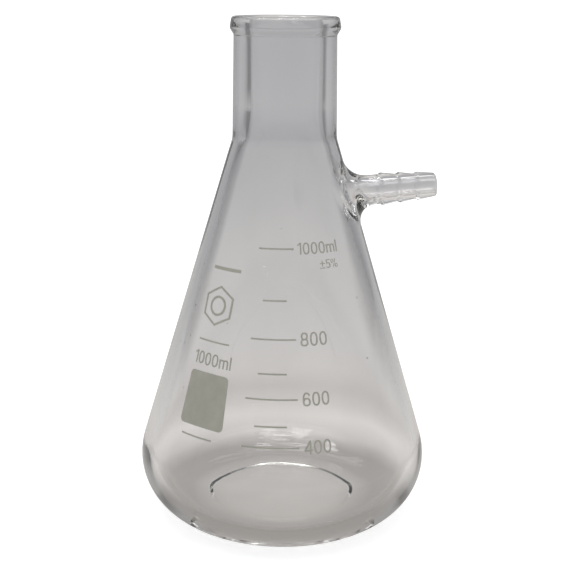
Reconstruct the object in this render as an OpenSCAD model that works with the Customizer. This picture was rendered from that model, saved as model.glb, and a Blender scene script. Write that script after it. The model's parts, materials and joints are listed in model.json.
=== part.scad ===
// Conical filtering flask, 1000 ml: heavy blown glass, tooled rim, sealed-on barbed side arm,
// and a fired enamel scale. The flask stands on z = 0 and the side arm points along +X.

/* [Body] */
// Overall height
height = 232; // [226:1:240]
// Widest diameter, at the heel
body_d = 135; // [130:0.5:137]
// Radius of the rounded heel
heel_r = 29; // [26:0.5:30]
// Radius of the hollow curve between cone and neck
shoulder_r = 16; // [12:0.5:20]
// Height at which the shoulder becomes the neck
neck_start = 181.5; // [178:0.5:185]
// Wall thickness of the cone
wall = 4.8; // [3.5:0.1:5.2]
// Thickness of glass under the inside floor
floor_t = 6.5; // [5:0.1:8]
// Radius of the inside of the heel
inner_heel_r = 24; // [20:0.5:25]
// Radius of the inside of the shoulder
inner_shoulder_r = 40; // [30:1:50]
// Width of the flat ring that the flask stands on
contact_w = 2.5; // [1.5:0.1:5]
// Depth of the hollow under the floor, at its middle
punt_depth = 1.8; // [1.4:0.1:3]
// Height of the step round the hollow
punt_step = 1.1; // [0.6:0.1:1.3]

/* [Neck] */
// Outside diameter at the foot of the neck
neck_foot_d = 46.8; // [46:0.1:48]
// Outside diameter just under the rim bead
neck_top_d = 45.6; // [45:0.1:46.5]
// Bore of the neck, for a stopper
neck_bore_d = 32.6; // [32:0.1:35]
// Height of the rim bead
bead_h = 7.8; // [7:0.1:9]
// Widest diameter of the rim bead
bead_d = 48.8; // [48:0.1:51]
// Diameter of the rim's rounded top edge
lip_d = 47.8; // [46.8:0.1:48.4]
// Rounding of the mouth's inside edge
mouth_r = 1.6; // [1:0.1:2]

/* [Side arm] */
// Height at which the arm's axis crosses the flask's axis
arm_height = 151.7; // [149:0.1:154]
// Upward tilt of the arm
arm_tilt = 4; // [2:0.5:6]
// Distance from the flask's axis to the arm's tip, along the arm
arm_reach = 70.4; // [66:0.2:74]
// Diameter of the smooth shank
shank_d = 13.8; // [13:0.1:14.4]
// Bore of the arm
arm_bore_d = 8; // [7:0.1:8.4]
// Diameter of the largest barb, nearest the flask
barb_d = 15.2; // [14.8:0.1:16]
// Diameter at the tip
arm_tip_d = 10.8; // [10.4:0.1:11.4]
// Distance from the tip to the largest barb
barb_run = 25.2; // [22:0.2:27]
// Number of barbs
barbs = 3; // [2:1:4]
// Radius of the fillet where the arm is sealed on
seal_r = 8; // [5:0.1:9]

/* [Enamel] */
// Thickness of the fired enamel
enamel_t = 0.12; // [0.1:0.01:0.2]
// Azimuth of the middle of the scale, measured from the arm
scale_azimuth = -103; // [-110:1:-95]
// Angle that a long scale line spans
long_line = 23.6; // [18:0.2:26]
// Angle that a short scale line spans
short_line = 13.8; // [10:0.2:16]
// Width of a scale line
line_w = 0.7; // [0.4:0.05:1]
// Azimuth at which the scale's figures begin
figure_azimuth = -89; // [-90:0.5:-86]
// Height of the top figure
top_figure_h = 5.2; // [4:0.1:6]
// Height of the other figures
figure_h = 6; // [5:0.1:7]
// Azimuth of the middle of the marking patch
patch_azimuth = -135.5; // [-140:0.5:-130]
// Height of the marking patch above the base
patch_foot = 58.8; // [56:0.2:62]
// Length of the marking patch, along the wall
patch_h = 24; // [20:0.5:26]
// Width of the marking patch at its foot
patch_w = 24; // [20:0.5:25]
// Width across the corners of the hexagon emblem
emblem_d = 18; // [12:0.5:20]

/* [Hidden] */
$fn = 96;
eps = 0.01;

// Scale marks as [volume in ml, height above the base]
marks = [[400, 54.8], [500, 63.4], [600, 74.5], [700, 84.9], [800, 99], [900, 114.9], [1000, 136.2]];

// Outer profile: the cone is the common tangent of the heel circle and the shoulder circle
heel_x = body_d / 2 - heel_r;
shoulder_x = neck_foot_d / 2 + shoulder_r;
span_x = shoulder_x - heel_x;
span_z = neck_start - heel_r;
slope = asin((heel_r + shoulder_r) / norm([span_x, span_z])) - atan2(span_x, span_z);
cone_n = [cos(slope), sin(slope)];
cone_reach = heel_x * cone_n.x + heel_r * cone_n.y + heel_r;
cone_foot = [heel_x, heel_r] + heel_r * cone_n;
cone_top = [shoulder_x, neck_start] - shoulder_r * cone_n;
bead_z = height - bead_h;
bore_r = neck_bore_d / 2;
contact_r = heel_x - contact_w;
punt_edge = 2;
seal_skin = 0.3;
bead_round = 2.4;
bead_rise = 3.3;
lip_round = 1.6;

// Inner profile: parallel to the cone, rounded into the floor and into the neck bore
inner_reach = cone_reach - wall;
inner_heel_z = floor_t + inner_heel_r;
inner_heel_x = (inner_reach - inner_heel_r - inner_heel_z * cone_n.y) / cone_n.x;
inner_foot = [inner_heel_x, inner_heel_z] + inner_heel_r * cone_n;
inner_shoulder_x = bore_r + inner_shoulder_r;
inner_neck_z = (inner_reach + inner_shoulder_r - inner_shoulder_x * cone_n.x) / cone_n.y;
inner_top = [inner_shoulder_x, inner_neck_z] - inner_shoulder_r * cone_n;

// Arm: distances are measured along its axis from the flask's axis
shank_r = shank_d / 2;
arm_wall = (cone_reach - arm_height * cone_n.y) / cos(slope - arm_tilt);
barb_pitch = barb_run / barbs;
barb_step = 1.3;
barb_depth = 0.7;
tip_round = 0.8;

// Figures are drawn in a cell one unit high
stroke = 0.125;
figure_w = 0.58;
figure_gap = 0.13;
print_depth = 8;
glyph_widths = [["1", 0.36], ["m", 0.82], ["l", stroke], ["%", 0.86], ["+", 0.62]];

glass = [0.80, 0.82, 0.82, 0.45];
enamel = [0.55, 0.54, 0.50];

// True for the marks that have a long line and figures
function is_long(volume) = volume % 200 == 0;

// Outside radius of the cone at a height
function cone_r(z) = (cone_reach - z * cone_n.y) / cone_n.x;

// Outer half section of the vessel, without its hollow
module outer_section() {
    difference() {
        union() {
            polygon([[0, 0], [heel_x, 0], [heel_x, heel_r], cone_foot, cone_top, [shoulder_x, neck_start],
                     [neck_foot_d / 2, neck_start], [neck_top_d / 2, bead_z], [0, bead_z]]);
            intersection() {
                translate([heel_x, heel_r]) circle(heel_r);
                translate([heel_x, 0]) square([heel_r, cone_foot.y]);
            }
        }
        translate([shoulder_x, neck_start]) circle(shoulder_r);
    }
}

// Half section of the space inside
module inner_section() {
    difference() {
        union() {
            polygon([[0, floor_t], [inner_heel_x, floor_t], [inner_heel_x, inner_heel_z], inner_foot, inner_top,
                     [inner_shoulder_x, inner_neck_z], [bore_r, inner_neck_z], [bore_r, height + 1],
                     [0, height + 1]]);
            intersection() {
                translate([inner_heel_x, inner_heel_z]) circle(inner_heel_r);
                translate([inner_heel_x, 0]) square([inner_heel_r, inner_foot.y]);
            }
        }
        translate([inner_shoulder_x, inner_neck_z]) circle(inner_shoulder_r);
    }
}

// The shallow hollow under the floor: a sloping step, then a roof that is part of a large sphere
module punt_section() {
    roof_r = contact_r - punt_edge;
    dome_h = punt_depth - punt_step;
    dome_r = (roof_r * roof_r + dome_h * dome_h) / (2 * dome_h);
    polygon([[0, -1], [contact_r, -1], [contact_r, 0], [roof_r, punt_step], [0, punt_step]]);
    intersection() {
        translate([0, punt_depth - dome_r]) circle(dome_r, $fn = 360);
        translate([0, punt_step - eps]) square([roof_r, dome_h + 2 * eps]);
    }
}

// Places what follows on the arm's axis, which becomes the local Z axis
module on_arm(distance = 0) {
    translate([0, 0, arm_height]) rotate([0, 90 - arm_tilt, 0]) translate([0, 0, distance]) children();
}

// Blown body: floor, heel, cone, shoulder and neck, with the hole for the arm
module vessel() {
    color(glass) difference() {
        rotate_extrude() difference() {
            outer_section();
            inner_section();
            punt_section();
        }
        on_arm(arm_wall / 2) cylinder(h = arm_wall, r = arm_bore_d / 2);
    }
}

// Tooled rim: a bead that swells from the neck and leans in to a rounded top edge, and a rounded mouth
module rim_bead() {
    bead_r = bead_d / 2;
    lip_r = lip_d / 2;
    mouth_x = bore_r + mouth_r;
    color(glass) rotate_extrude() difference() {
        union() {
            translate([bore_r, bead_z]) square([lip_r - lip_round - bore_r, bead_h]);
            hull() {
                translate([neck_top_d / 2 - 1, bead_z]) square([1, eps]);
                translate([bead_r - bead_round, bead_z + bead_rise]) circle(bead_round);
                translate([lip_r - lip_round, height - lip_round]) circle(lip_round);
            }
        }
        difference() {
            translate([bore_r - 1, height - mouth_r]) square([mouth_r + 1, mouth_r + 1]);
            translate([mouth_x, height - mouth_r]) circle(mouth_r);
        }
    }
}

// Half section of the arm: shank, barbs that step up and ramp down, and a rounded tip
module arm_section() {
    first = arm_reach - barb_run;
    tip_r = arm_tip_d / 2;
    function crest_r(i) = barb_d / 2 - (barb_d - arm_tip_d) / 2 * 0.72 * i / barbs;
    function root_r(i) = crest_r(i) - barb_depth;
    barb_points = [for (i = [0 : barbs - 1]) each [
        [i == 0 ? shank_r : root_r(i), first + i * barb_pitch - barb_step],
        [crest_r(i), first + i * barb_pitch]
    ]];
    difference() {
        union() {
            polygon(concat(
                [[0, 0], [shank_r, 0]], barb_points, [[tip_r, arm_reach - tip_round], [0, arm_reach - tip_round]]
            ));
            translate([0, arm_reach - tip_round - eps]) square([tip_r - tip_round, tip_round + eps]);
            intersection() {
                translate([tip_r - tip_round, arm_reach - tip_round]) circle(tip_round);
                translate([0, arm_reach - tip_round]) square(tip_r);
            }
        }
        square([arm_bore_d / 2, arm_reach + 1]);
    }
}

// Drawn tube with barbs for the vacuum hose
module side_arm() {
    color(glass) difference() {
        on_arm() rotate_extrude() arm_section();
        rotate_extrude() outer_section();
    }
}

// A patch of the skin that lies a distance off the cone, as wide as a circle round the arm's axis
module seal_patch(r, off) {
    half = shank_r + seal_r + 1;
    foot = [cone_r(arm_height - half), arm_height - half] + off * cone_n;
    top = [cone_r(arm_height + half), arm_height + half] + off * cone_n;
    intersection() {
        rotate([0, 0, -45]) rotate_extrude(angle = 90, $fn = 180)
            polygon([foot, top, top - [seal_skin, 0], foot - [seal_skin, 0]]);
        on_arm() cylinder(h = 2 * arm_wall, r = r, $fn = 48);
    }
}

// Weld glass run round the joint of arm and cone: a hollow fillet that follows the cone
module arm_seal() {
    steps = 6;
    function patch_r(turn) = shank_r + 0.25 + seal_r * (1 - cos(turn));
    function patch_off(turn) = seal_r * (1 - sin(turn)) + seal_skin / 2;
    color(glass) difference() {
        for (i = [0 : steps - 1]) hull() {
            seal_patch(patch_r(90 * i / steps), patch_off(90 * i / steps));
            seal_patch(patch_r(90 * (i + 1) / steps), patch_off(90 * (i + 1) / steps));
        }
        on_arm() cylinder(h = arm_reach, r = shank_r);
        rotate_extrude() outer_section();
    }
}

// Band of enamel all round the cone between two heights
module enamel_band(z0, z1) {
    out = enamel_t * cone_n;
    foot = [cone_r(z0), z0];
    top = [cone_r(z1), z1];
    polygon([foot, foot + out, top + out, top]);
}

// Keeps the part of the enamel skin that lies under flat shapes
module printed(z0, z1) {
    color(enamel) intersection() {
        rotate_extrude() enamel_band(z0, z1);
        children();
    }
}

// Stands a flat shape upright on the cone, its origin at a height and an azimuth
module stand_on_cone(z, azimuth) {
    rotate([0, 0, azimuth]) translate([cone_r(z), 0, z]) rotate([0, -slope, 0]) rotate([90, 0, 90])
        translate([0, 0, -print_depth / 2]) linear_extrude(print_depth) children();
}

module graduation(mark) {
    line_span = is_long(mark[0]) ? long_line : short_line;
    color(enamel) rotate([0, 0, scale_azimuth - line_span / 2])
        rotate_extrude(angle = line_span) enamel_band(mark[1] - line_w / 2, mark[1] + line_w / 2);
}

// Outline of an upright oval with slightly square shoulders
function squarish(v) = sign(v) * pow(abs(v), 0.86);
function oval(w, h) = [for (t = [0 : 12 : 348]) [w / 2 * squarish(cos(t)), h / 2 * squarish(sin(t))]];

// Oval stroke that fills a cell from its lower left corner
module oval_stroke(w, h, s = stroke) {
    translate([w / 2, h / 2]) difference() {
        polygon(oval(w, h));
        polygon(oval(w - 2 * s, h - 2 * s));
    }
}

module glyph_0() {
    oval_stroke(figure_w, 1);
}

module glyph_1() {
    bar_x = 0.36 - stroke;
    translate([bar_x, 0]) square([stroke, 1]);
    polygon([[0, 0.72], [0, 0.82], [bar_x + eps, 1], [bar_x + stroke / 2, 1], [bar_x + stroke / 2, 0.86]]);
}

module glyph_4() {
    bar_x = 0.38;
    bar_y = 0.22;
    translate([bar_x, 0]) square([stroke, 1]);
    translate([0, bar_y]) square([figure_w, stroke]);
    polygon([[0, bar_y + stroke / 2], [0, bar_y + stroke + 0.04], [bar_x, 1], [bar_x + stroke / 2, 1],
             [bar_x + stroke / 2, 0.82], [0.13, bar_y + stroke / 2]]);
}

module glyph_5() {
    bowl_h = 0.66;
    translate([0.06, 1 - stroke]) square([figure_w - 0.1, stroke]);
    translate([0.06, 0.46]) square([stroke * 0.9, 0.54]);
    difference() {
        oval_stroke(figure_w, bowl_h);
        translate([-eps, 0.2]) square([figure_w / 2 - 0.1, 0.28]);
    }
}

module glyph_6() {
    bowl_h = 0.62;
    oval_stroke(figure_w, bowl_h);
    difference() {
        oval_stroke(figure_w, 1);
        translate([figure_w / 2, 0]) square([figure_w, 0.74]);
        square([figure_w, bowl_h / 2]);
    }
}

module glyph_8() {
    lower_h = 0.56;
    upper_w = figure_w - 0.06;
    oval_stroke(figure_w, lower_h);
    translate([0.03, lower_h - stroke]) oval_stroke(upper_w, 1 - lower_h + stroke);
}

module glyph_m() {
    x_height = 0.72;
    arch_w = (0.82 + stroke) / 2;
    square([stroke, x_height]);
    for (i = [0, 1]) translate([i * (arch_w - stroke), 0]) {
        translate([arch_w - stroke, 0]) square([stroke, x_height - arch_w / 2]);
        difference() {
            translate([0, x_height - arch_w]) oval_stroke(arch_w, arch_w);
            translate([-eps, 0]) square([arch_w + 1, x_height - arch_w / 2]);
        }
    }
}

module glyph_percent() {
    ring_w = 0.36;
    ring_h = 0.46;
    thin = 0.085;
    translate([0, 1 - ring_h]) oval_stroke(ring_w, ring_h, thin);
    translate([0.86 - ring_w, 0]) oval_stroke(ring_w, ring_h, thin);
    polygon([[0.22, 0], [0.22 + thin, 0], [0.64, 1], [0.64 - thin, 1]]);
}

// The sign for plus or minus
module glyph_plus_minus() {
    mid = 0.31;
    square([2 * mid, stroke]);
    translate([0, 0.52]) square([2 * mid, stroke]);
    translate([mid - stroke / 2, 0.25]) square([stroke, 0.66]);
}

module glyph(c) {
    if (c == "0") glyph_0();
    if (c == "1") glyph_1();
    if (c == "4") glyph_4();
    if (c == "5") glyph_5();
    if (c == "6") glyph_6();
    if (c == "8") glyph_8();
    if (c == "m") glyph_m();
    if (c == "l") square([stroke, 1]);
    if (c == "%") glyph_percent();
    if (c == "+") glyph_plus_minus();
}

// Width of a figure, and the distance from a line's start to its figure i
function glyph_w(c) = let (found = search([c], glyph_widths)[0]) is_num(found) ? glyph_widths[found][1] : figure_w;
function glyph_start(line, i) = i == 0 ? 0 : glyph_start(line, i - 1) + glyph_w(line[i - 1]) + figure_gap;

// A line of figures along the cone, each figure upright on its own part of the wall
module figures(line, size, z, azimuth) {
    degrees_per_unit = size / cone_r(z) * 180 / PI;
    printed(z - 0.2 * size, z + 1.2 * size) for (i = [0 : len(line) - 1]) {
        centre = glyph_start(line, i) + glyph_w(line[i]) / 2;
        stand_on_cone(z, azimuth + centre * degrees_per_unit) scale(size)
            translate([-glyph_w(line[i]) / 2, 0]) glyph(line[i]);
    }
}

module scale_figures(mark) {
    is_top = mark[0] == 1000;
    size = is_top ? top_figure_h : figure_h;
    figures(is_top ? "1000ml" : str(mark[0]), size, mark[1] - size * 0.47, figure_azimuth);
}

module tolerance_label() {
    figures("+5%", 3.8, 127.4, figure_azimuth + 15);
}

module capacity_label() {
    figures("1000ml", 5.7, patch_foot + patch_h + 1.8, patch_azimuth - 11.5);
}

// Patch of enamel to write on in pencil
module marking_patch() {
    corner = 2;
    foot_x = patch_w / 2 - corner;
    top_x = foot_x - patch_h * sin(slope) * patch_w / 2 / cone_r(patch_foot);
    printed(patch_foot - 2, patch_foot + patch_h) stand_on_cone(patch_foot, patch_azimuth) hull() {
        for (side = [-1, 1]) {
            translate([side * foot_x, corner]) circle(corner, $fn = 32);
            translate([side * top_x, patch_h - corner]) circle(corner, $fn = 32);
        }
    }
}

// Plain emblem: a hexagon with a ring in it
module emblem() {
    ring_d = emblem_d * 0.5;
    line = 1.1;
    printed(98, 122) stand_on_cone(110, patch_azimuth - 2.5) {
        rotate(30) difference() {
            circle(d = emblem_d, $fn = 6);
            circle(d = emblem_d - 2 * line, $fn = 6);
        }
        difference() {
            circle(d = ring_d);
            circle(d = ring_d - 2 * line);
        }
    }
}

// Plain rule round part of the cone
module rule(z, span, thickness) {
    color(enamel) rotate([0, 0, patch_azimuth - 1 - span / 2])
        rotate_extrude(angle = span) enamel_band(z, z + thickness);
}

module maker_rule() {
    rule(125, 22, 1.4);
}

module web_rule() {
    rule(94.5, 20, 0.7);
}

module glass_type_rule() {
    rule(54, 16, 0.7);
}

vessel();
rim_bead();
arm_seal();
side_arm();
marking_patch();
capacity_label();
tolerance_label();
emblem();
maker_rule();
web_rule();
glass_type_rule();
for (m = marks) graduation(m);
for (m = marks) if (is_long(m[0])) scale_figures(m);
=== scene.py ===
"""Looks of a 1000 ml filtering flask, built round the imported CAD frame.

The blown body, the tooled rim, the sealed-on arm and its weld are one fused piece of glass here, with a real
wall, so that light bends through it as it does through the flask. The fired enamel keeps its CAD shapes.
Sizes of the flask are in millimetres, turned into metres as a mesh is made. The studio is in metres.
"""
import json
import math

import bpy
import numpy as np
from mathutils import Matrix, Vector


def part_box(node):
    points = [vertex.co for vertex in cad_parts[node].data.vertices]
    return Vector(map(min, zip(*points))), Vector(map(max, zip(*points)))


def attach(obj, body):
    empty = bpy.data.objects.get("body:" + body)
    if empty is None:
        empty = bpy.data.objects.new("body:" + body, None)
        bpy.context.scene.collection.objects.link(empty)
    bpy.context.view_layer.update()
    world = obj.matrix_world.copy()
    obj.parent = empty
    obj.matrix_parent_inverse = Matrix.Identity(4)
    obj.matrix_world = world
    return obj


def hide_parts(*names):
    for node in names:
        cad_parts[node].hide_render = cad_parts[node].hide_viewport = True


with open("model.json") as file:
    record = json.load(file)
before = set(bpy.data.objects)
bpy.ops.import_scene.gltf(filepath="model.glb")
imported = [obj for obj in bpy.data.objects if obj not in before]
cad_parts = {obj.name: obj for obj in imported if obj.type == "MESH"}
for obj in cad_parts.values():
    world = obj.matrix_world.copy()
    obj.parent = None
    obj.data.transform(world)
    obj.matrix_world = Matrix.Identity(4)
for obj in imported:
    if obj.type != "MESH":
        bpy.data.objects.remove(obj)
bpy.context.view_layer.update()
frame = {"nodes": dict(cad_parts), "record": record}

MM = 0.001
mounts = {m["name"]: m for m in frame["record"]["mounts"]}


def size_mm(node, axis):
    """Extent of a CAD node along an axis."""
    low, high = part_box(node)
    return (high[axis] - low[axis]) / MM


# ---------------------------------------------------------------- sizes from the frame
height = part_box("rim_bead")[1].z / MM
bead_h = size_mm("rim_bead", 2)
bead_r = size_mm("rim_bead", 0) / 2
bore_r = mounts["neck_bore"]["dims"]["r_mm"]
arm_bore_r = mounts["arm_bore"]["dims"]["r_mm"]
arm_axis = np.array(mounts["hose_barb"]["axis"])
arm_tip = np.array(mounts["hose_barb"]["pos_m"]) / MM
arm_reach = arm_tip[0] / arm_axis[0]
arm_origin = arm_tip - arm_reach * arm_axis
arm_up = np.array([-arm_axis[2], 0.0, arm_axis[0]])

# ---------------------------------------------------------------- the glassblower's sizes
# The body outside, from the heel up to the neck, and the wall and floor behind it.
body_r = 67.5
heel_r = 29.0
shoulder_r = 16.0
neck_start = 181.5
neck_foot_r = 23.4
neck_top_r = 22.8
wall = 4.8
floor_t = 6.5
inner_heel_r = 24.0
inner_shoulder_r = 40.0

# The foot: the ring that it stands on, and the shallow hollow inside the ring, which ends in a step.
contact_w = 2.5
punt_depth = 1.8
punt_step = 1.1
punt_edge = 2.0
punt_round = 1.2

# The rim: a bead that swells from a groove, leans in to the lip, and rolls over into the mouth.
bead_gap = 1.0
groove_round = 1.5
bead_round = 2.4
bead_rise = 3.3
lip_r = 23.9
lip_round = 1.6
mouth_r = 1.6

# The arm, its barbs, and the weld's fillets outside and inside.
shank_r = 6.9
barb_r = 7.6
arm_tip_r = 5.4
barb_run = 25.2
barb_step = 1.3
barb_depth = 0.7
barb_shrink = 0.72
barb_round = 0.5
barbs = 3
bore_lead = 3.0
seal_r = 9.0
seal_inner_r = 6.0
seal_clear = 1.5
seal_pull = 0.72

# The glass under the printing stands out by this much, so that no film of air shows between them.
enamel_bite = 0.02

# Swells of the inside wall: (amount, lobes round the axis, start angle, height for one radian of turn).
swells = [(0.10, 2, 0.6, 90), (0.07, 3, 2.1, -55), (0.07, 7, 0.0, 35), (0.045, 13, 1.0, -60),
          (0.05, 2, 0.0, 11)]
# The neck's inside is off centre by this much, over this run above this height, but even near the mouth.
bore_shift = 0.35
shift_start = 150.0
shift_run = 40.0
even_mouth = 12.0
even_floor_r = 20.0

# Air bubbles in the wall: (angle round the axis, height, radius).
seeds = [(-160, 106, 0.45), (-157, 93, 0.35), (-163, 124, 0.35), (-166, 88, 0.5), (-48, 112, 0.4),
         (-50, 86, 0.4), (-152, 71, 0.3), (-30, 70, 0.35), (-100, 144, 0.25), (170, 100, 0.4),
         (120, 80, 0.35), (75, 118, 0.3), (20, 95, 0.35)]

# ---------------------------------------------------------------- profile of the wall
heel_x = body_r - heel_r
shoulder_x = neck_foot_r + shoulder_r
span_x = shoulder_x - heel_x
span_z = neck_start - heel_r
slope = math.asin((heel_r + shoulder_r) / math.hypot(span_x, span_z)) - math.atan2(span_x, span_z)
cone_n = np.array([math.cos(slope), math.sin(slope)])
cone_reach = float(np.dot([heel_x, heel_r], cone_n)) + heel_r
inner_reach = cone_reach - wall
inner_heel_z = floor_t + inner_heel_r
inner_heel_x = (inner_reach - inner_heel_r - inner_heel_z * cone_n[1]) / cone_n[0]
inner_shoulder_x = bore_r + inner_shoulder_r
inner_neck_z = (inner_reach + inner_shoulder_r - inner_shoulder_x * cone_n[0]) / cone_n[1]
bead_z = height - bead_h
contact_r = heel_x - contact_w

# Mesh: columns round the axis, half the width of the square hole for the arm in columns and in rows of 1 mm,
# the distance at which two points are one, and the distance at which a point is on the axis.
COLUMNS = 192
HOLE_HALF = 19
SAME = 1e-4
ON_AXIS = 1e-6


def arc(centre, radius, start, stop, steps):
    """Points on an arc, angles in degrees, both ends included."""
    turns = np.radians(np.linspace(start, stop, steps + 1))
    return [np.array(centre) + radius * np.array([math.cos(t), math.sin(t)]) for t in turns]


def line(start, stop, steps):
    """Points on a straight line, both ends included."""
    return [np.array(start) + (np.array(stop) - np.array(start)) * k / steps for k in range(steps + 1)]


def join(*runs):
    """Runs of points laid end to end, without repeating the points where they meet."""
    points = []
    for run in runs:
        for p in run:
            if not points or np.linalg.norm(p - points[-1]) > SAME:
                points.append(p)
    return points


def rounded(corners, radius, steps=4):
    """A polyline with each of its inner corners turned into a curve, over less than half of each side."""
    most = 0.45
    points = [np.array(corners[0], float)]
    for before, corner, after in zip(corners, corners[1:], corners[2:]):
        before, corner, after = (np.array(p, float) for p in (before, corner, after))
        to_before = (before - corner) / np.linalg.norm(before - corner)
        to_after = (after - corner) / np.linalg.norm(after - corner)
        half = math.acos(np.clip(np.dot(to_before, to_after), -1, 1)) / 2
        side = min(np.linalg.norm(before - corner), np.linalg.norm(after - corner))
        reach = min(radius / math.tan(half), most * side)
        start, stop = corner + to_before * reach, corner + to_after * reach
        for k in range(steps + 1):
            t = k / steps
            points.append((1 - t) ** 2 * start + 2 * t * (1 - t) * corner + t * t * stop)
    points.append(np.array(corners[-1], float))
    return points


def on_cone(reach, z):
    """The point of a cone's profile at a height."""
    return np.array([(reach - z * cone_n[1]) / cone_n[0], z])


def outer_profile():
    """Outside of the glass, from the middle of the underside to the mouth, and the hole's first row."""
    roof_r = contact_r - punt_edge
    dome_h = punt_depth - punt_step
    dome_r = (roof_r ** 2 + dome_h ** 2) / (2 * dome_h)
    edge = math.degrees(math.asin(roof_r / dome_r))
    slope_deg = math.degrees(slope)
    hole_z = arm_wall_point[2]
    low, high = on_cone(cone_reach, hole_z - HOLE_HALF), on_cone(cone_reach, hole_z + HOLE_HALF)
    roof = arc([0, punt_depth - dome_r], dome_r, 90, 90 - edge, 14)
    step = rounded([roof[-2], roof[-1], [contact_r, 0], [heel_x, 0]], punt_round, 6)
    foot = join(roof[:-1], step, arc([heel_x, heel_r], heel_r, -90, slope_deg, 34))
    lower = line(foot[-1], low, 40)
    across = line(low, high, 2 * HOLE_HALF)
    top = arc([shoulder_x, neck_start], shoulder_r, 180 + slope_deg, 180, 12)
    neck = line([neck_foot_r, neck_start], [neck_top_r, bead_z - bead_gap], 22)
    bulge = np.array([bead_r - bead_round, bead_z + bead_rise])
    foot_gap = neck[-1] + [0, bead_gap] - bulge
    turn_in = math.atan2(foot_gap[1], foot_gap[0]) + math.acos(bead_round / np.linalg.norm(foot_gap))
    lip = [lip_r - lip_round, height - lip_round]
    lean = math.degrees(math.asin((bead_round - lip_round - lip[0] + bulge[0]) / (lip[1] - bulge[1])))
    bead = arc(bulge, bead_round, math.degrees(turn_in), lean, 10)
    groove = rounded([neck[-1], [neck_top_r, bead_z], bead[0]], groove_round, 5)
    rim = arc(lip, lip_round, lean, 90, 8)
    flat = line(rim[-1], [bore_r + mouth_r, height], 3)
    before_hole = join(foot, lower)
    above = line(high, top[0], 4)
    return join(before_hole, across, above, top, neck, groove, bead, rim, flat), len(before_hole) - 1


def inner_profile():
    """Inside of the glass from the rim down to the middle of the floor, and the hole's first row."""
    slope_deg = math.degrees(slope)
    hole_z = arm_inner_point[2]
    low, high = on_cone(inner_reach, hole_z - HOLE_HALF), on_cone(inner_reach, hole_z + HOLE_HALF)
    mouth = arc([bore_r + mouth_r, height - mouth_r], mouth_r, 90, 180, 8)
    bore = line(mouth[-1], [bore_r, inner_neck_z], 22)
    shoulder = arc([inner_shoulder_x, inner_neck_z], inner_shoulder_r, 180, 180 + slope_deg, 12)
    before_hole = join(mouth, bore, shoulder, line(shoulder[-1], high, 4))
    across = line(high, low, 2 * HOLE_HALF)
    heel = arc([inner_heel_x, inner_heel_z], inner_heel_r, slope_deg, -90, 32)
    floor = line(heel[-1], [0, floor_t], 14)
    return join(before_hole, across, line(low, heel[0], 40), heel, floor), len(before_hole) - 1


def meet_cone(reach, y, up):
    """How far along the arm a line parallel to it meets a cone, for offsets y across and up from the axis."""
    far = np.full(np.shape(y), (reach - arm_origin[2] * cone_n[1]) / cone_n[0])
    for _ in range(12):
        p = arm_origin + far[..., None] * arm_axis + np.asarray(up)[..., None] * arm_up
        across = np.hypot(p[..., 0], y)
        miss = across * cone_n[0] + p[..., 2] * cone_n[1] - reach
        gain = p[..., 0] / across * arm_axis[0] * cone_n[0] + arm_axis[2] * cone_n[1]
        far = far - miss / gain
    return far


arm_wall = float(meet_cone(cone_reach, np.array(0.0), np.array(0.0)))
arm_wall_point = arm_origin + arm_wall * arm_axis
arm_inner_point = arm_origin + float(meet_cone(inner_reach, np.array(0.0), np.array(0.0))) * arm_axis


def arm_points(turn, off, far):
    """Points round the arm: turn is the angle round its axis, off the distance from it, far along it."""
    across, up = off * np.cos(turn), off * np.sin(turn)
    points = arm_origin + far[:, None] * arm_axis + up[:, None] * arm_up
    points[:, 1] += across
    return points


def round_arm(points):
    """The turn and the distance from the arm's axis of some points."""
    rel = points - arm_origin
    up = rel @ arm_up
    return np.arctan2(up, rel[:, 1]), np.hypot(up, rel[:, 1])


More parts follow.
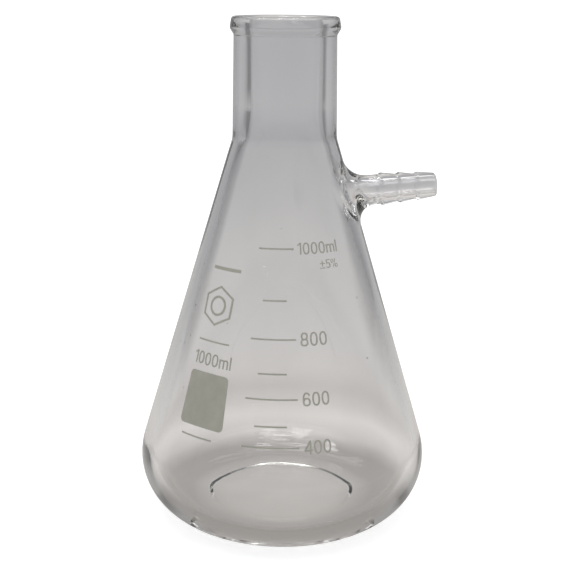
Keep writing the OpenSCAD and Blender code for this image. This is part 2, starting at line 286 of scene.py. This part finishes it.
class Shell:
    """Rings of points joined into one closed skin."""

    def __init__(self):
        self.points = []
        self.faces = []

    def add(self, ring):
        """Adds points and returns their numbers."""
        first = len(self.points)
        self.points.extend(np.asarray(ring, float))
        return list(range(first, first + len(ring)))

    def bridge(self, a, b):
        """Quads between two closed rings of the same count."""
        count = len(a)
        for k in range(count):
            n = (k + 1) % count
            self.faces.append((a[k], a[n], b[n], b[k]))

    def grow(self, last, points):
        """Adds a ring, bridged from the last one, and returns it."""
        ring = self.add(points)
        self.bridge(last, ring)
        return ring

    def turned(self, profile, hole_row, start=None):
        """Turns a profile round the flask's axis, with a square hole left for the arm, from a ring that is
        already there or a new one. Returns the hole's rim and the last ring."""
        turns = np.arange(COLUMNS) * 2 * math.pi / COLUMNS
        rings = [start] if start else []
        for r, z in profile[len(rings):]:
            if r < ON_AXIS:
                rings.append(self.add([[0, 0, z]]) * COLUMNS)
            else:
                around = [r * np.cos(turns), r * np.sin(turns), np.full(COLUMNS, z)]
                rings.append(self.add(np.stack(around, 1)))
        for i, (a, b) in enumerate(zip(rings, rings[1:])):
            for j in range(COLUMNS):
                side = (j + COLUMNS // 2) % COLUMNS - COLUMNS // 2
                in_hole = hole_row <= i < hole_row + 2 * HOLE_HALF and -HOLE_HALF <= side < HOLE_HALF
                if in_hole:
                    continue
                n = (j + 1) % COLUMNS
                corners = (a[j], a[n], b[n], b[j])
                self.faces.append(tuple(dict.fromkeys(corners)))
        first, last = hole_row, hole_row + 2 * HOLE_HALF
        low, high = (first, last) if profile[first][1] < profile[last][1] else (last, first)
        step = 1 if high > low else -1
        side = list(range(-HOLE_HALF, HOLE_HALF))
        rim = [rings[low][j] for j in side]
        rim += [rings[i][HOLE_HALF] for i in range(low, high, step)]
        rim += [rings[high][-j] for j in side]
        rim += [rings[i][-HOLE_HALF] for i in range(high, low, -step)]
        return rim, rings[-1]

    def mesh(self, name):
        """The mesh in metres, without the points that no face uses."""
        used = sorted({k for f in self.faces for k in f})
        place = {k: n for n, k in enumerate(used)}
        data = bpy.data.meshes.new(name)
        points = [tuple(self.points[k] * MM) for k in used]
        data.from_pydata(points, [], [tuple(place[k] for k in f) for f in self.faces])
        data.validate()
        return data


def arm_outline():
    """Outside of the arm beyond the seal as (distance from the axis, distance along it)."""
    first = arm_reach - barb_run
    pitch = barb_run / barbs
    corners = [[shank_r, arm_wall + seal_r + seal_clear]]
    for i in range(barbs):
        crest = barb_r - (barb_r - arm_tip_r) * barb_shrink * i / barbs
        root = shank_r if i == 0 else crest - barb_depth
        corners += [[root, first + i * pitch - barb_step], [crest, first + i * pitch]]
    corners += [[arm_tip_r, arm_reach], [arm_bore_r, arm_reach], [arm_bore_r, arm_reach - bore_lead]]
    coarse = rounded(corners, barb_round, 4)
    longest = 1.2
    fine = []
    for a, b in zip(coarse, coarse[1:]):
        pieces = max(1, round(float(np.linalg.norm(b - a)) / longest))
        fine += [a + (b - a) * k / pieces for k in range(pieces)]
    return fine + [coarse[-1]]


def seal_rings(reach, turn, tube_r, fillet, steps=10):
    """Rings of a fillet from a cone's wall on to a tube, wall end first, as (off, far) pairs."""
    off = np.full(len(turn), tube_r + fillet)
    far = meet_cone(reach, off * np.cos(turn), off * np.sin(turn))
    small = 0.05
    near = off - small
    rise = (far - meet_cone(reach, near * np.cos(turn), near * np.sin(turn))) / small
    corner = far - rise * fillet
    rings = []
    for k in range(steps + 1):
        t = k / steps
        w = np.array([(1 - t) ** 2, 2 * t * (1 - t) * seal_pull, t * t])
        w = w / w.sum()
        ring_off = w[0] * off + w[1] * tube_r + w[2] * tube_r
        ring_far = w[0] * far + w[1] * corner + w[2] * (corner + fillet)
        rings.append((ring_off, ring_far))
    return rings


def wall_rings(shell, rim, reach, off_end, steps=7):
    """Rings on a cone's wall from the hole's square rim in to a circle round the arm."""
    points = np.array([shell.points[k] for k in rim])
    turn, off = round_arm(points)
    rings = []
    for k in range(1, steps):
        ring_off = off + (off_end - off) * k / steps
        rings.append((ring_off, meet_cone(reach, ring_off * np.cos(turn), ring_off * np.sin(turn))))
    return turn, rings


def waves(points):
    """Slow swells of a hand-blown inner wall, as an offset of each point's distance from the axis."""
    turn = np.arctan2(points[:, 1], points[:, 0])
    z = points[:, 2]
    swell = bore_shift * np.clip((z - shift_start) / shift_run, 0, 1) * np.cos(turn)
    for amount, lobes, start, run in swells:
        swell += amount * np.sin(lobes * turn + start + z / run)
    from_middle = np.clip(np.hypot(points[:, 0], points[:, 1]) / even_floor_r, 0, 1)
    from_mouth = np.clip((height - z) / even_mouth, 0, 1)
    return swell * from_middle * from_mouth


def build_glass():
    """The fused glass: body, rim, weld and arm, with the inside and the arm's bore."""
    shell = Shell()
    printed_reach = cone_reach + enamel_bite
    profile, hole_row = outer_profile()
    profile = [on_cone(printed_reach, p[1]) if on_wall(p) else p for p in profile]
    outer_rim, mouth_ring = shell.turned(profile, hole_row)
    outer_count = len(shell.points)
    profile, hole_row = inner_profile()
    inner_rim = shell.turned(profile, hole_row, mouth_ring)[0]
    inside = list(range(outer_count, len(shell.points)))

    out_turn, rings = wall_rings(shell, outer_rim, printed_reach, shank_r + seal_r)
    rings += seal_rings(printed_reach, out_turn, shank_r, seal_r)
    in_turn, inner_rings = wall_rings(shell, inner_rim, inner_reach, arm_bore_r + seal_inner_r)
    inner_rings += seal_rings(inner_reach, in_turn, arm_bore_r, seal_inner_r)
    last = outer_rim
    for off, far in rings:
        last = shell.grow(last, arm_points(out_turn, off, far))
    outline = arm_outline()
    count = len(out_turn)
    start_far = rings[-1][1]
    ease = outline[0][1] - start_far
    for k in (1, 2):
        last = shell.grow(last, arm_points(out_turn, np.full(count, shank_r), start_far + ease * k / 3))
    for off, far in outline:
        last = shell.grow(last, arm_points(out_turn, np.full(count, off), np.full(count, far)))
    shift = (in_turn - out_turn + math.pi) % (2 * math.pi) - math.pi
    end_far = inner_rings[-1][1]
    bore_steps = 16
    for k in range(1, bore_steps + 1):
        t = k / bore_steps
        far = outline[-1][1] + (end_far - outline[-1][1]) * t
        last = shell.grow(last, arm_points(out_turn + shift * t, np.full(count, arm_bore_r), far))
    first_inner = len(shell.points)
    for off, far in inner_rings[-2::-1]:
        last = shell.grow(last, arm_points(in_turn, off, far))
    shell.bridge(last, inner_rim)
    ripple(shell, inside + list(range(first_inner, len(shell.points))))
    for azimuth, z, radius in seeds:
        add_seed(shell, azimuth, z, radius)
    return shell


def add_seed(shell, azimuth, z, radius):
    """A small round bubble in the middle of the wall."""
    turn = math.radians(azimuth)
    off = on_cone((cone_reach + inner_reach) / 2, z)[0]
    centre = np.array([off * math.cos(turn), off * math.sin(turn), z])
    sides, rows = 12, 8
    last = shell.add([centre + [0, 0, radius]]) * sides
    for k in range(1, rows + 1):
        tilt = math.pi * k / rows
        round_it = np.arange(sides) * 2 * math.pi / sides
        ring = np.stack([np.cos(round_it) * math.sin(tilt), np.sin(round_it) * math.sin(tilt),
                         np.full(sides, math.cos(tilt))], 1) * radius + centre
        if k == rows:
            ring = ring[:1]
        made = shell.add(ring) * (sides // len(ring))
        for j in range(sides):
            n = (j + 1) % sides
            shell.faces.append(tuple(dict.fromkeys((last[j], last[n], made[n], made[j]))))
        last = made


def on_wall(p):
    """True for a point of the outer profile on the straight cone, where the scale is printed."""
    foot = heel_r + heel_r * cone_n[1]
    top = neck_start - shoulder_r * cone_n[1]
    slack = 0.01
    return foot <= p[1] <= top + slack


def ripple(shell, members):
    """Moves inner points in or out by the swells."""
    points = np.array([shell.points[k] for k in members])
    off = np.hypot(points[:, 0], points[:, 1])
    scale = np.where(off > ON_AXIS, 1 + waves(points) / np.maximum(off, ON_AXIS), 1)
    points[:, :2] *= scale[:, None]
    for k, p in zip(members, points):
        shell.points[k] = p


# ---------------------------------------------------------------- materials
def node_tools(tree):
    """Two helpers for a node tree: one adds a node, the other feeds a socket or a plain value to a socket."""

    def feed(value, socket):
        if isinstance(value, bpy.types.NodeSocket):
            tree.links.new(value, socket)
        else:
            socket.default_value = value

    def node(kind, **inputs):
        made = tree.nodes.new(kind)
        for key, value in inputs.items():
            feed(value, made.inputs[key.replace("_", " ")])
        return made

    return node, feed


def new_material(name):
    """A node material, the inputs of its Principled shader, and the two helpers for its tree."""
    mat = bpy.data.materials.new(name)
    mat.use_nodes = True
    node, feed = node_tools(mat.node_tree)
    return mat, mat.node_tree.nodes["Principled BSDF"].inputs, node, feed


def ramp(node, factor, stops):
    """A colour ramp over a factor, from (position, grey or colour) stops."""
    made = node("ShaderNodeValToRGB", Fac=factor)
    elements = made.color_ramp.elements
    while len(elements) < len(stops):
        elements.new(0.5)
    for element, (position, value) in zip(elements, stops):
        element.position = position
        element.color = (*value, 1) if isinstance(value, tuple) else (value, value, value, 1)
    return made.outputs["Color"]


def spread(node, value, low, high, **inputs):
    """A value's place between two limits: 0 at the first and 1 at the second, or To Min and To Max."""
    return node("ShaderNodeMapRange", Value=value, From_Min=low, From_Max=high, **inputs).outputs["Result"]


def calc(node, feed, kind, operation, *values):
    """A Math or Vector Math node that works on sockets or plain values."""
    made = node(kind)
    made.operation = operation
    for value, socket in zip(values, made.inputs):
        feed(value, socket)
    return made.outputs


def blend(node, feed, kind, factor, first, second):
    """A mix of two colours, each a socket or a value."""
    made = node("ShaderNodeMix")
    made.data_type = "RGBA"
    made.blend_type = kind
    for name, value in (("Factor", factor), ("A", first), ("B", second)):
        feed(value, [i for i in made.inputs if i.name == name and i.enabled][0])
    return [o for o in made.outputs if o.enabled][0]


def glass_material():
    """Clear heavy glass with a faint grey body, fire-polished, with slow cords and light handling marks.

    Its grazing edges are darker above the heel: painted shade, a darker colour where a face turns away from
    the view."""
    mat, shader, node, feed = new_material("flask_glass")
    shader["Transmission Weight"].default_value = 1.0
    shader["IOR"].default_value = 1.474
    place = node("ShaderNodeTexCoord").outputs["Object"]
    tall = node("ShaderNodeMapping", Vector=place, Scale=(1, 1, 0.22)).outputs["Vector"]
    cords = node("ShaderNodeTexNoise", Vector=tall, Scale=55.0, Detail=2.0, Roughness=0.45).outputs["Fac"]
    body = ramp(node, cords, [(0.3, (0.955, 0.95, 0.955)), (0.7, (0.98, 0.975, 0.978))])
    # Painted shade: faces seen at a grazing angle get a darker colour, above the heel only.
    facing = node("ShaderNodeLayerWeight", Blend=0.5).outputs["Facing"]
    edge = ramp(node, facing, [(0.5, 1.0), (0.66, 0.66), (1.0, 0.52)])
    painted_edge_shade_above_heel = spread(node, node("ShaderNodeSeparateXYZ", Vector=place).outputs["Z"], 0.04, 0.09)
    feed(blend(node, feed, "MULTIPLY", painted_edge_shade_above_heel, body, edge), shader["Base Color"])
    marks = node("ShaderNodeTexNoise", Vector=place, Scale=90.0, Detail=5.0, Roughness=0.6).outputs["Fac"]
    feed(ramp(node, marks, [(0.45, 0.0), (0.8, 0.035)]), shader["Roughness"])
    feed(node("ShaderNodeBump", Height=cords, Strength=0.04, Distance=0.0004).outputs["Normal"],
         shader["Normal"])
    depth = node("ShaderNodeVolumeAbsorption", Color=(0.45, 0.45, 0.30, 1), Density=1.5)
    feed(depth.outputs["Volume"], mat.node_tree.nodes["Material Output"].inputs["Volume"])
    return mat


def enamel_material():
    """Fired grey ceramic ink: matt, a little grainy, thinner here and there."""
    mat, shader, node, feed = new_material("fired_enamel")
    place = node("ShaderNodeTexCoord").outputs["Object"]
    cloud = node("ShaderNodeTexNoise", Vector=place, Scale=160.0, Detail=4.0, Roughness=0.6).outputs["Fac"]
    grain = node("ShaderNodeTexNoise", Vector=place, Scale=2600.0, Detail=3.0, Roughness=0.7).outputs["Fac"]
    both = calc(node, feed, "ShaderNodeMath", "ADD", cloud, grain)[0]
    ink = calc(node, feed, "ShaderNodeMath", "MULTIPLY", both, 0.5)[0]
    feed(ramp(node, ink, [(0.3, (0.38, 0.375, 0.32)), (0.7, (0.50, 0.495, 0.43))]), shader["Base Color"])
    feed(ramp(node, grain, [(0.3, 0.45), (0.7, 0.7)]), shader["Roughness"])
    feed(node("ShaderNodeBump", Height=grain, Strength=0.25, Distance=0.00004).outputs["Normal"],
         shader["Normal"])
    return mat


# ---------------------------------------------------------------- pieces
def add_object(name, data):
    """A new object in the scene."""
    piece = bpy.data.objects.new(name, data)
    bpy.context.scene.collection.objects.link(piece)
    return piece


def add_smooth(name, shell, material):
    """An object with smooth shading and one material, from a shell."""
    piece = add_object(name, shell.mesh(name))
    piece.data.materials.append(material)
    piece.data.polygons.foreach_set("use_smooth", [True] * len(piece.data.polygons))
    return piece


glass = add_smooth("fused_glass", build_glass(), glass_material())
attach(glass, "root")
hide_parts("vessel", "rim_bead", "arm_seal", "side_arm")

enamel = enamel_material()
for part in frame["record"]["subparts"]:
    if part["material_slot"] == "enamel":
        for material_slot in frame["nodes"][part["node"]].material_slots:
            material_slot.material = enamel


# ---------------------------------------------------------------- studio, in metres and degrees
view_azimuth = -8.0
camera_reach = 0.4943
camera_height = 0.2463
camera_pitch = 15.54
camera_roll = 0.453
camera_lens = 68.78
camera_shift = 0.0079
room_r = 2.4
room_h = 2.2
room_bend = 0.5
floor_drop = 0.0002
aim = (0, 0, 0.1)

# Lamp tubes over the flask: (x, y, length). Each has the same width and glow.
tube_z = 1.6
tube_w = 0.05
tube_glow = 60
ceiling_tubes = [(0.25, 0.32, 0.18), (-0.05, 0.32, 0.25), (0.25, 0.50, 0.18), (-0.05, 0.50, 0.25)]

# Soft panels: (name, place, size, watts).
panels = [
    ("front_left", (-0.35, -0.45, 1.5), (0.35, 0.8), 3.2),
    ("front_right", (0.10, -0.45, 1.5), (0.35, 0.8), 3.2),
    ("panel_left", (-0.62, 0.32, 1.6), (0.26, 0.22), 2.2),
    ("panel_middle", (0.0, 0.68, 1.5), (0.8, 0.4), 1),
    ("panel_back", (0.0, 1.35, 1.7), (1.5, 0.3), 1.6)]


def room_glow_and_painted_shade(node, feed):
    """The glow of the room that the glass sees, by distance from the flask, height and bearing: painted light
    and shade, darker up high, in front and at two bearings, with a painted shadow ring under the heel.
    """
    place = node("ShaderNodeTexCoord").outputs["Object"]
    split = node("ShaderNodeSeparateXYZ", Vector=place)
    flat = calc(node, feed, "ShaderNodeVectorMath", "MULTIPLY", place, (1, 1, 0))[0]
    off = calc(node, feed, "ShaderNodeVectorMath", "LENGTH", flat)["Value"]
    reach = spread(node, off, 0.0, room_r)
    # Painted shadow: the dark ring at 0.0185 to 0.0285 of the reach lies under the heel. Just outside it is a
    # painted lighter ring, and beyond that the glow falls off slowly with distance.
    floor_glow_and_painted_shadow = ramp(node, reach, [
        (0.0, (0.59, 0.565, 0.535)), (0.0135, (0.57, 0.545, 0.515)), (0.0185, (0.40, 0.38, 0.36)),
        (0.0285, (0.39, 0.37, 0.35)), (0.036, (0.67, 0.65, 0.625)), (0.046, (0.78, 0.76, 0.73)),
        (0.058, (0.65, 0.63, 0.605)), (0.07, (0.59, 0.57, 0.55)), (0.084, (0.645, 0.63, 0.61)),
        (0.108, (0.635, 0.625, 0.61)), (0.16, (0.60, 0.595, 0.585)), (0.24, (0.59, 0.588, 0.58)),
        (0.34, (0.54, 0.54, 0.538)), (0.5, (0.495, 0.495, 0.50)), (0.9, (0.47, 0.47, 0.482))])
    # Painted shade on the floor in front of the flask, deepest a little way out from it.
    painted_front_shade = ramp(node, reach, [
        (0.0, 1.0), (0.022, 0.86), (0.05, 0.72), (0.16, 0.68), (0.19, 0.86), (0.24, 1.0)])
    rise = spread(node, split.outputs["Z"], 0.0, room_h)
    rear_tone = ramp(node, rise, [(0.0, 1.0), (0.3, 0.9), (1.0, 0.7)])
    front_tone = ramp(node, rise, [(0.0, 1.0), (0.15, 0.9), (0.4, 0.35), (1.0, 0.25)])
    bearing = calc(node, feed, "ShaderNodeMath", "ARCTAN2", split.outputs["X"], split.outputs["Y"])[0]
    turned = spread(node, bearing, -math.pi, math.pi)
    # Painted shade: two dark bands of the room at two bearings, which darken the glass edges seen against
    # them.
    painted_side_shade = ramp(node, turned, [
        (0.29, 0.95), (0.315, 0.43), (0.348, 0.43), (0.365, 0.92), (0.375, 0.92), (0.40, 1.0), (0.595, 1.0),
        (0.617, 0.80), (0.65, 0.5), (0.685, 0.5), (0.71, 0.95)])
    in_front = ramp(node, turned, [(0.2, 1.0), (0.275, 0.0), (0.725, 0.0), (0.8, 1.0)])
    far_off = spread(node, off, 1.35, 1.7)

    height_tone = blend(node, feed, "MIX", in_front, rear_tone, front_tone)
    tone = blend(node, feed, "MULTIPLY", 1.0, floor_glow_and_painted_shadow, height_tone)
    tone = blend(node, feed, "MULTIPLY", in_front, tone, painted_front_shade)
    return blend(node, feed, "MULTIPLY", far_off, tone, painted_side_shade)


def studio_paper():
    """White paper to the camera, and to the light that passes through the glass a glowing grey room with
    painted shade and a painted shadow under the heel.
    """
    mat, shader, node, feed = new_material("studio_paper")
    shader["Base Color"].default_value = (0.5, 0.5, 0.5, 1)
    shader["Roughness"].default_value = 0.9
    shader["Specular IOR Level"].default_value = 0.0
    shader["Emission Color"].default_value = (1, 1, 1, 1)
    shader["Emission Strength"].default_value = 0.8
    room = node("ShaderNodeEmission", Color=room_glow_and_painted_shade(node, feed), Strength=1.0)
    both = node("ShaderNodeMixShader", Fac=node("ShaderNodeLightPath").outputs["Is Camera Ray"])
    feed(room.outputs[0], both.inputs[1])
    feed(mat.node_tree.nodes["Principled BSDF"].outputs[0], both.inputs[2])
    feed(both.outputs[0], mat.node_tree.nodes["Material Output"].inputs["Surface"])
    return mat


def stage_room():
    """A pale round floor that curves up into a pale wall, open at the top."""
    outline = [(0.0, 0.0), (0.3, 0.0), (1.0, 0.0), (room_r - room_bend, 0.0)]
    outline += [(p[0], p[1]) for p in arc([room_r - room_bend, room_bend], room_bend, -90, 0, 12)[1:]]
    outline.append((room_r, room_h))
    sides = 96
    shell = Shell()
    turns = np.arange(sides) * 2 * math.pi / sides
    rings = []
    for r, z in outline:
        count = 1 if r < ON_AXIS else sides
        around = [r * np.cos(turns), r * np.sin(turns), np.full(sides, z - floor_drop)]
        rings.append(shell.add(np.stack(around, 1)[:count] / MM) * (sides // count))
    for a, b in zip(rings, rings[1:]):
        for k in range(sides):
            n = (k + 1) % sides
            shell.faces.append(tuple(dict.fromkeys((a[k], b[k], b[n], a[n]))))
    floor = add_smooth("studio_floor", shell, studio_paper())
    floor.rotation_euler.z = math.radians(view_azimuth)


def lamp(name, place, size, power):
    """An area lamp that is turned to the middle of the flask."""
    data = bpy.data.lights.new(name, "AREA")
    data.shape = "RECTANGLE"
    data.size, data.size_y = size
    data.energy = power
    made = add_object(name, data)
    made.location = place
    made.rotation_euler = (Vector(aim) - Vector(place)).to_track_quat("-Z", "Y").to_euler()


def place_camera():
    """The camera, a little above the flask's mouth, looking down."""
    data = bpy.data.cameras.new("camera")
    data.lens = camera_lens
    data.sensor_width = 36
    data.shift_x = camera_shift
    camera = add_object("camera", data)
    turn = math.radians(view_azimuth)
    rotation = Matrix.Rotation(turn, 4, "Z") @ Matrix.Rotation(math.radians(90 - camera_pitch), 4, "X")
    rotation = rotation @ Matrix.Rotation(math.radians(camera_roll), 4, "Z")
    place = Vector((camera_reach * math.sin(turn), -camera_reach * math.cos(turn), camera_height))
    camera.matrix_world = Matrix.Translation(place) @ rotation
    bpy.context.scene.camera = camera


def studio_sky():
    """A soft grey sky that is brighter over the camera, like a large window behind it."""
    world = bpy.data.worlds.new("studio")
    bpy.context.scene.world = world
    world.use_nodes = True
    node, feed = node_tools(world.node_tree)
    background = world.node_tree.nodes["Background"].inputs
    background["Color"].default_value = (1.0, 1.0, 1.01, 1)
    split = node("ShaderNodeSeparateXYZ", Vector=node("ShaderNodeTexCoord").outputs["Generated"])
    feed(spread(node, split.outputs["Y"], 0.25, -0.15, To_Min=0.4, To_Max=1.3), background["Strength"])


# Thick glass needs many bounces: with fewer, its edges turn black.
bounces = 32
bpy.context.scene.view_settings.view_transform = "Standard"
bpy.context.scene.cycles.max_bounces = bounces
bpy.context.scene.cycles.glossy_bounces = bounces
bpy.context.scene.cycles.transmission_bounces = bounces

studio_sky()
stage_room()
place_camera()
for number, (x, y, length) in enumerate(ceiling_tubes):
    lamp("tube_%d" % number, (x, y, tube_z), (length, tube_w), tube_glow * length * tube_w)
for name, place, size, watts in panels:
    lamp(name, place, size, watts)
